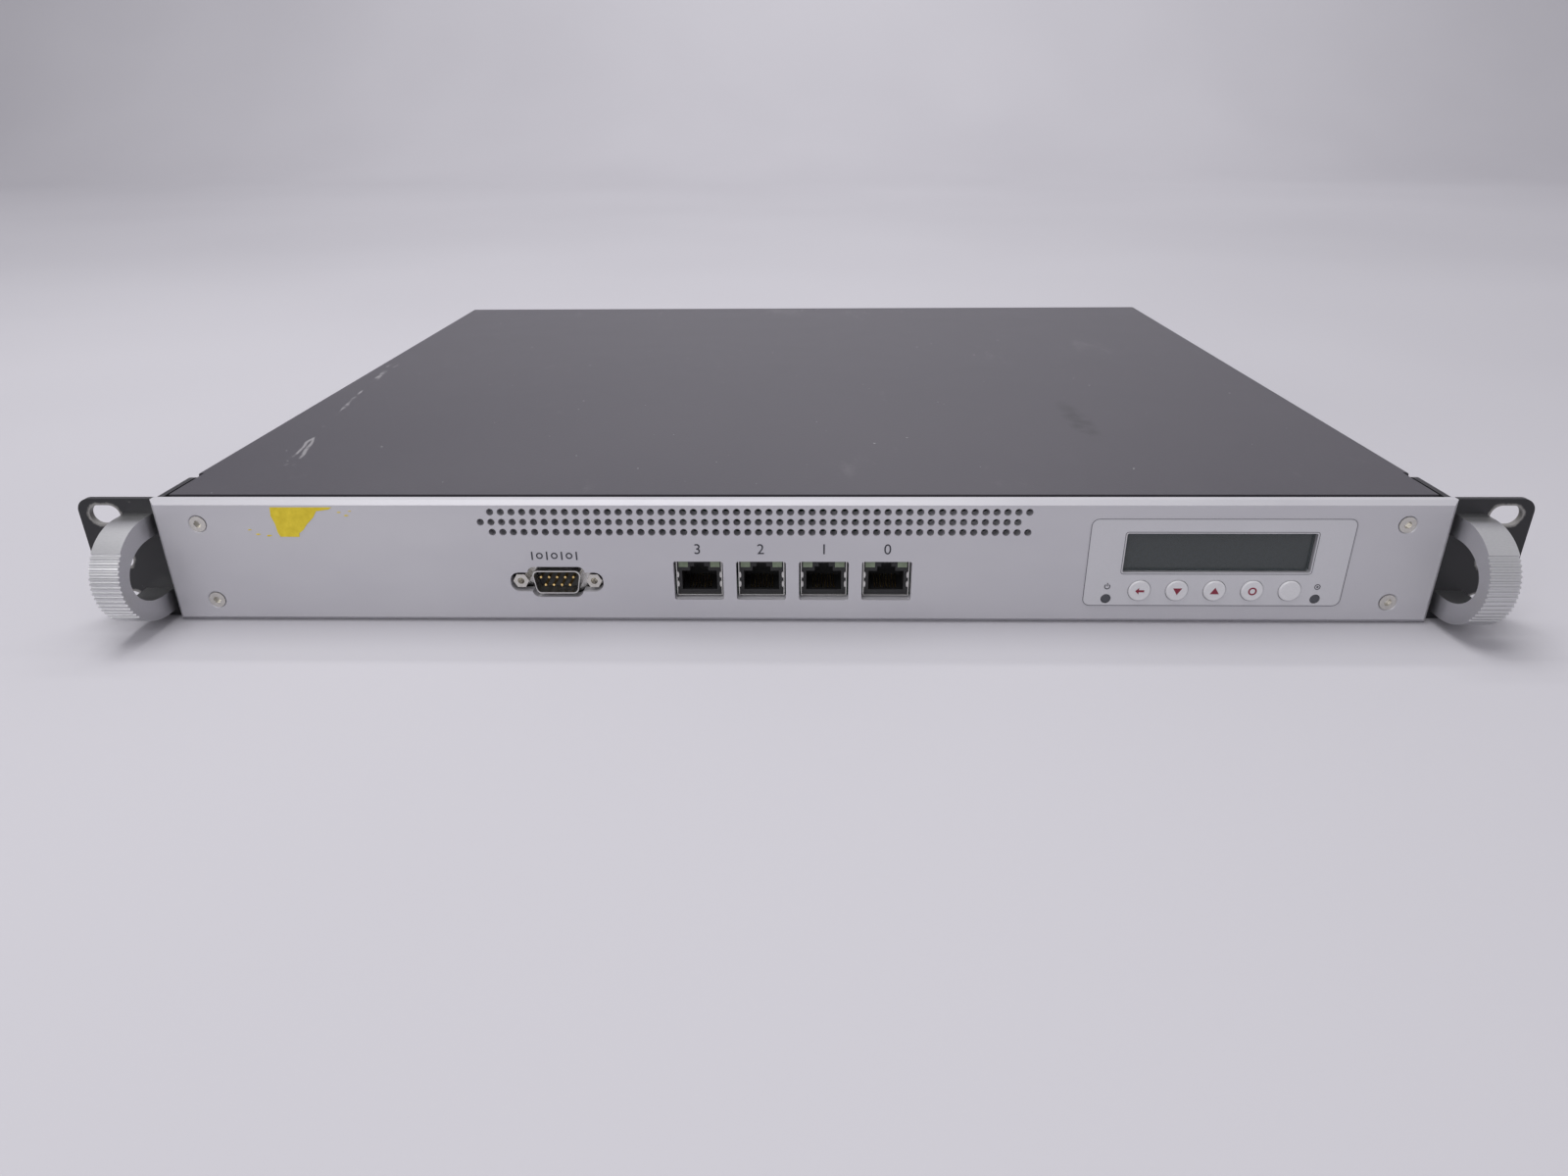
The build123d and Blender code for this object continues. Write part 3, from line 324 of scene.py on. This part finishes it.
# below: dark and light tone, then metallic, roughness range, grain scale, bump strength and depth
FILM = surface("overlay_film", (0.51, 0.505, 0.535), (0.54, 0.535, 0.562),
               0.15, (0.42, 0.5), 2200.0, (0.08, 0.0001))
KEY = surface("key_cap", (0.58, 0.575, 0.595), (0.64, 0.635, 0.655),
              0.1, (0.3, 0.38), 1800.0, (0.05, 0.0001))
HANDLE = surface("handle_metal", (0.60, 0.60, 0.61), (0.70, 0.70, 0.71),
                 1.0, (0.26, 0.36), 900.0, (0.06, 0.0001), stretch=(1, 6, 6))
NICKEL = surface("nickel_plate", (0.56, 0.54, 0.50), (0.70, 0.68, 0.64),
                 1.0, (0.18, 0.30), 1200.0, (0.06, 0.0001))
TIN = surface("tin_plate", (0.55, 0.54, 0.52), (0.68, 0.67, 0.65),
              1.0, (0.22, 0.34), 700.0, (0.08, 0.0001))
ZINC = surface("zinc_sheet", (0.42, 0.42, 0.42), (0.56, 0.56, 0.55),
               0.9, (0.32, 0.46), 300.0, (0.08, 0.0001))
STEEL = surface("dark_steel_paint", (0.026, 0.026, 0.028), (0.040, 0.040, 0.042),
                0.0, (0.42, 0.55), 1400.0, (0.2, 0.0001), wear=(0.10, 0.10, 0.10))
BLACK = surface("black_moulding", (0.012, 0.012, 0.013), (0.022, 0.022, 0.023),
                0.0, (0.38, 0.5), 1600.0, (0.15, 0.0001))
GOLD = surface("gold_contact", (0.72, 0.50, 0.20), (0.85, 0.64, 0.30),
               1.0, (0.2, 0.3), 900.0, (0.05, 0.0001))
LAMP = surface("lamp_lens", (0.16, 0.20, 0.13), (0.24, 0.29, 0.20),
               0.0, (0.15, 0.25), 700.0, (0.04, 0.0001))
DARK_LAMP = surface("status_lens", (0.045, 0.047, 0.055), (0.07, 0.072, 0.082),
                    0.0, (0.18, 0.26), 700.0, (0.04, 0.0001))
BOARD = surface("board_green", (0.012, 0.07, 0.03), (0.02, 0.11, 0.05),
                0.0, (0.3, 0.45), 500.0, (0.2, 0.0001))
LINE_INK = surface("printed_line_grey", (0.10, 0.10, 0.115), (0.13, 0.13, 0.145),
                   0.0, (0.45, 0.55), 1800.0, (0.05, 0.00005))
INK = surface("printed_ink_dark", (0.02, 0.02, 0.03), (0.035, 0.035, 0.045),
              0.0, (0.5, 0.6), 1800.0, (0.05, 0.00005))
RED_INK = surface("printed_ink_maroon", (0.17, 0.012, 0.03), (0.22, 0.02, 0.045),
                  0.0, (0.45, 0.55), 1800.0, (0.05, 0.00005))
PAPER = surface("label_remnant", (0.60, 0.46, 0.02), (0.76, 0.60, 0.04),
                0.0, (0.6, 0.75), 500.0, (0.3, 0.0002), wear=(0.45, 0.42, 0.28))

BY_SLOT = {"panel": PANEL, "cover_paint": COVER, "ear_paint": EAR, "handle_metal": HANDLE,
           "nickel": NICKEL, "tin": TIN, "dark_steel": STEEL, "black_steel": STEEL,
           "black_plastic": BLACK, "gold": GOLD, "lamp_plastic": LAMP, "film": FILM,
           "window_glass": GLASS, "display_face": LCD, "board": BOARD, "sink": ZINC,
           "drive_case": ZINC, "zinc": ZINC, "key_plastic": KEY, "lead_jacket": BLACK}
BY_NODE = {"status_lamps": DARK_LAMP}


def paint_frame():
    """Give every CAD node its own finish, or the finish of its slot."""
    slots = {part["node"]: part["material_slot"] for part in frame["record"]["subparts"]}
    for name, obj in nodes.items():
        obj.data.materials.clear()
        obj.data.materials.append(BY_NODE.get(name, BY_SLOT[slots[name]]))


# ---- printed and stuck-on detail -----------------------------------------------------
def flat_piece(name, shapes, y, finish, body=ROOT, thick=PRINT_THICK):
    """A thin printed piece made of (x, z) outlines, with its back on the plane Y = y."""
    mesh = bpy.data.meshes.new(name)
    points, faces = [], []
    for shape in shapes:
        start, count = len(points), len(shape)
        points += [(px, y - thick, pz) for px, pz in shape]
        points += [(px, y, pz) for px, pz in shape]
        front = list(range(start, start + count))
        back = [i + count for i in front]
        faces.append(front)
        faces.append(back[::-1])
        for i in range(count):
            j = (i + 1) % count
            faces.append([front[j], front[i], back[i], back[j]])
    mesh.from_pydata(points, [], faces)
    mesh.materials.append(finish)
    mesh.validate()
    obj = bpy.data.objects.new(name, mesh)
    scene.collection.objects.link(obj)
    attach(obj, body)


def ring(x, z, r_out, r_in, start=0.0, end=360.0, steps=32):
    """An arc band as quads, each its own outline."""
    quads = []
    for i in range(steps):
        a = math.radians(start + (end - start) * i / steps)
        b = math.radians(start + (end - start) * (i + 1) / steps)
        corners = ((r_out, a), (r_out, b), (r_in, b), (r_in, a))
        quads.append([(x + r * math.cos(t), z + r * math.sin(t)) for r, t in corners])
    return quads


def bar(x0, z0, x1, z1):
    """An upright rectangle as one outline."""
    return [(x0, z0), (x1, z0), (x1, z1), (x0, z1)]


def rounded_frame(low, high, r, w):
    """The four sides and corners of a thin rounded outline."""
    (x0, z0), (x1, z1) = low, high
    shapes = [bar(x0 + r, z0, x1 - r, z0 + w), bar(x0 + r, z1 - w, x1 - r, z1),
              bar(x0, z0 + r, x0 + w, z1 - r), bar(x1 - w, z0 + r, x1, z1 - r)]
    corners = ((x1 - r, z1 - r, 0), (x0 + r, z1 - r, 90), (x0 + r, z0 + r, 180), (x1 - r, z0 + r, 270))
    for cx, cz, turn in corners:
        shapes += ring(cx, cz, r, r - w, turn, turn + 90, 6)
    return shapes


def numeral(name, text, x, z, size, finish):
    """A plain printed number on the panel's face."""
    curve = bpy.data.curves.new(name, "FONT")
    curve.body = text
    curve.size = size
    curve.align_x = "CENTER"
    curve.align_y = "CENTER"
    curve.extrude = TEXT_HALF_THICK
    curve.materials.append(finish)
    obj = bpy.data.objects.new(name, curve)
    obj.location = (x, FACE_Y - TEXT_HALF_THICK, z)
    obj.rotation_euler = (math.radians(90), 0, 0)
    scene.collection.objects.link(obj)
    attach(obj, ROOT)


def port_marks():
    """Plain numbers over the sockets and a serial-line mark over the console port."""
    for number in range(4):
        x = centre(f"port_{number}_shield")[0]
        numeral(f"port_number_{number}", str(number), x, PORT_NUMBER_Z, PORT_NUMBER_SIZE, INK)
    x, z = centre("console_shell")[0], SERIAL_MARK_Z
    half_wide, half_high = 0.25 * MM, 1.5 * MM
    r_out, r_in = 1.15 * MM, 0.7 * MM
    marks = []
    for i, kind in enumerate("1010101"):
        cx = x + (i - 3) * SERIAL_MARK_STEP
        if kind == "1":
            marks.append(bar(cx - half_wide, z - half_high, cx + half_wide, z + half_high))
        else:
            marks += ring(cx, z, r_out, r_in, *FULL_TURN, 24)
    flat_piece("console_mark", marks, FACE_Y, INK)


def outline_marks():
    """The thin grey lines round the display film and round its window."""
    low, high = (overlay_low[0], overlay_low[2]), (overlay_high[0], overlay_high[2])
    frame_lines = rounded_frame(low, high, 2.5 * MM, 0.22 * MM)
    flat_piece("overlay_outline", frame_lines, FILM_Y, LINE_INK)
    low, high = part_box("display_window")
    margin = 0.5 * MM
    window_lines = rounded_frame((low[0] - margin, low[2] - margin), (high[0] + margin, high[2] + margin),
                                 1.0 * MM, 0.2 * MM)
    flat_piece("window_outline", window_lines, FILM_Y, LINE_INK)


def key_marks():
    """The symbols on the first four keys: left, down, up and a ring. The fifth is bare."""
    t = 1.5 * MM
    head, stem, tip, foot = 0.8 * t, 0.25 * t, 0.9 * t, 0.7 * t
    for i in range(1, 5):
        x, _, z = centre(f"key_{i}")
        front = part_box(f"key_{i}")[0][1]
        neck = x - 0.2 * t
        marks = {1: [[(x - t, z), (neck, z + head), (neck, z + stem), (x + t, z + stem),
                      (x + t, z - stem), (neck, z - stem), (neck, z - head)]],
                 2: [[(x - t, z + foot), (x + t, z + foot), (x, z - tip)]],
                 3: [[(x - t, z - foot), (x + t, z - foot), (x, z + tip)]],
                 4: ring(x, z, 0.95 * t, 0.6 * t, *FULL_TURN, 28)}[i]
        flat_piece(f"key_{i}_symbol", marks, front, RED_INK, f"key_{i}")


def lamp_marks():
    """A power symbol over the left status lamp and a disk symbol over the right one."""
    low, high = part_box("status_lamps")
    z = (low[2] + high[2]) / 2 + LAMP_MARK_RISE
    left_x, right_x = low[0] + LAMP_RADIUS, high[0] - LAMP_RADIUS
    r = 1.0 * MM
    power = ring(left_x, z, r, 0.7 * r, 125, 415, 24)
    power.append(bar(left_x - 0.14 * MM, z + 0.1 * MM, left_x + 0.14 * MM, z + 1.3 * MM))
    flat_piece("power_mark", power, FILM_Y, INK)
    disk = ring(right_x, z, r, 0.75 * r, *FULL_TURN, 24)
    disk += ring(right_x, z, 0.35 * r, 0.12 * r, *FULL_TURN, 16)
    flat_piece("disk_mark", disk, FILM_Y, INK)


def label_remnant():
    """What is left of a torn label near the panel's left end: one patch and a few flecks."""
    patch = [(-173.6, 42.1), (-153.0, 42.1), (-154.2, 41.3), (-158.2, 40.7), (-159.6, 38.5), (-162.3, 36.0),
             (-163.9, 34.0), (-165.4, 32.9), (-165.8, 31.5), (-172.2, 31.6), (-173.0, 33.3), (-173.2, 36.2),
             (-173.8, 39.0)]
    flecks = ((-151.0, 40.2), (-148.6, 39.1), (-147.2, 40.6), (-176.0, 31.9), (-179.5, 32.4), (-182.0, 34.0))
    outlines = [[(x + random.uniform(-0.2, 0.2), z + random.uniform(-0.15, 0.0)) for x, z in patch][::-1]]
    for x, z in flecks:
        size = random.uniform(0.3, 0.8)
        turns = [2 * math.pi * k / 7 for k in range(7)]
        outlines.append([(x + 1.7 * size * math.cos(t) * random.uniform(0.6, 1.2),
                          z + 0.5 * size * math.sin(t) * random.uniform(0.6, 1.2)) for t in turns])
    scaled = [[(x * MM, z * MM) for x, z in line] for line in outlines]
    flat_piece("label_remnant", scaled, FACE_Y, PAPER, thick=0.0001)


def shield_springs():
    """The pressed spring bumps inside each port's tin rim."""
    half_wide, half_high, inset = 0.35 * MM, 1.1 * MM, 0.55 * MM
    heights = (4.2 * MM, 7.6 * MM)
    turns = [2 * math.pi * k / 14 for k in range(14)]
    for number in range(4):
        low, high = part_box(f"port_{number}_shield")
        shapes = [[(side + half_wide * math.cos(a), low[2] + rise + half_high * math.sin(a)) for a in turns]
                  for side in (low[0] + inset, high[0] - inset) for rise in heights]
        flat_piece(f"port_{number}_springs", shapes, low[1] + 0.5 * MM, TIN, thick=0.0004)


# ---- stage ---------------------------------------------------------------------------
def stage_finish():
    """A pale matt floor, a touch violet."""
    s = Shader("stage_pale")
    cloud = s.noise(1.5, 2.0)
    tone = s.mix(s.band(cloud, 0.3, 0.7), (0.44, 0.43, 0.462), (0.47, 0.46, 0.492))
    s.base(tone)
    s.rough(cloud, 0.6, 0.7)
    return s.material


def build_stage():
    """A floor that curves up into a backdrop well behind the unit."""
    floor_z = cad_box[0][2]
    half, start, radius, top, steps = 4.0, 2.2, 1.0, 4.0, 12
    profile = [(-half, 0.0), (start, 0.0)]
    for i in range(1, steps + 1):
        a = math.radians(90 * i / steps)
        profile.append((start + radius * math.sin(a), radius - radius * math.cos(a)))
    profile.append((start + radius, top))
    points = [(x, y, z + floor_z) for y, z in profile for x in (-half, half)]
    faces = [(2 * i, 2 * i + 1, 2 * i + 3, 2 * i + 2) for i in range(len(profile) - 1)]
    mesh = bpy.data.meshes.new("stage_floor")
    mesh.from_pydata(points, [], faces)
    mesh.materials.append(stage_finish())
    obj = bpy.data.objects.new("stage_floor", mesh)
    scene.collection.objects.link(obj)
    for face in mesh.polygons:
        face.use_smooth = True


def area_lamp(name, place, aim, size, power):
    """A white rectangular lamp at place, turned to face aim."""
    lamp = bpy.data.lights.new(name, "AREA")
    lamp.shape = "RECTANGLE"
    lamp.size, lamp.size_y = size
    lamp.energy = power
    obj = bpy.data.objects.new(name, lamp)
    obj.location = place
    turn = mathutils.Vector(aim) - mathutils.Vector(place)
    obj.rotation_euler = turn.to_track_quat("-Z", "Y").to_euler()
    scene.collection.objects.link(obj)


def light_up():
    """An even, slightly cool world, two soft lamps on the unit and one on the backdrop."""
    world = bpy.data.worlds.new("studio")
    world.use_nodes = True
    sky = world.node_tree.nodes["Background"]
    sky.inputs["Color"].default_value = (0.93, 0.92, 0.97, 1.0)
    sky.inputs["Strength"].default_value = 0.55
    scene.world = world
    area_lamp("lamp_top", (-0.25, -0.05, 1.35), (0.0, 0.0, 0.0), (1.1, 0.8), 13.0)
    area_lamp("lamp_front", (-0.5, -1.5, 0.9), (0.0, -0.1, 0.0), (1.2, 0.8), 7.0)
    area_lamp("lamp_wall", (0.0, 1.6, 2.6), (0.0, 3.2, 0.6), (3.0, 0.6), 56.0)


def place_camera():
    """The photograph's viewpoint: about 317 mm in front of the panel, 159 mm up, looking down."""
    camera = bpy.data.cameras.new("view")
    camera.sensor_width = SENSOR_WIDTH
    camera.lens = SENSOR_WIDTH * FOCAL_PIXELS / IMAGE_PIXELS
    camera.clip_start = 0.01
    obj = bpy.data.objects.new("view", camera)
    yaw, pitch, roll = (math.radians(v) for v in (YAW, PITCH, ROLL))
    turn = (mathutils.Matrix.Rotation(-yaw, 4, "Z") @ mathutils.Matrix.Rotation(math.pi / 2 - pitch, 4, "X")
            @ mathutils.Matrix.Rotation(-roll, 4, "Z"))
    spot = mathutils.Matrix.Translation((CAMERA_X, FACE_Y - CAMERA_AHEAD, CAMERA_Z))
    obj.matrix_world = spot @ turn
    scene.collection.objects.link(obj)
    scene.camera = obj


paint_frame()
port_marks()
outline_marks()
key_marks()
lamp_marks()
label_remnant()
shield_springs()
build_stage()
light_up()
place_camera()
scene.view_settings.view_transform = "Standard"
